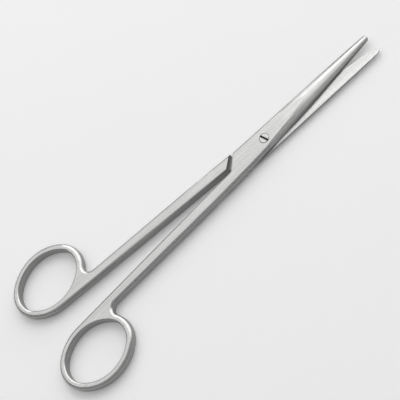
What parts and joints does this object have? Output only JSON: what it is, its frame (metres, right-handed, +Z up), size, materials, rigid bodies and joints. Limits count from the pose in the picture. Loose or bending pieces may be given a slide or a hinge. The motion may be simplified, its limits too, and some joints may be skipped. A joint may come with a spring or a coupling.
{
  "type": "surgical scissors",
  "caption": "Straight blunt-tipped dissecting scissors of satin steel, with slender half-round blades, a slotted screw joint and oval finger rings, lying slightly open.",
  "frame": {"origin": "on the screw's axis, in the plane that the pair lies on", "axes": "+X runs towards the tips, midway between the blades; +Y is the side of the blade with the screw head and of the other half's ring; +Z is up, out of the screw's head"},
  "size_m": [0.1786, 0.0692, 0.0044],
  "materials": {
    "halves": "satin",
    "screw": "satin"
  },
  "bodies": {
    "rear": {"rear_half": "halves", "pivot_screw": "screw"},
    "front": {"front_half": "halves"}
  },
  "joints": [
    {"name": "blades", "type": "hinge", "parent": "rear", "child": "front", "pos_m": [0, 0, 0.00215], "axis": [0, 0, 1], "range_deg": [-5.9, 84.1]}
  ]
}
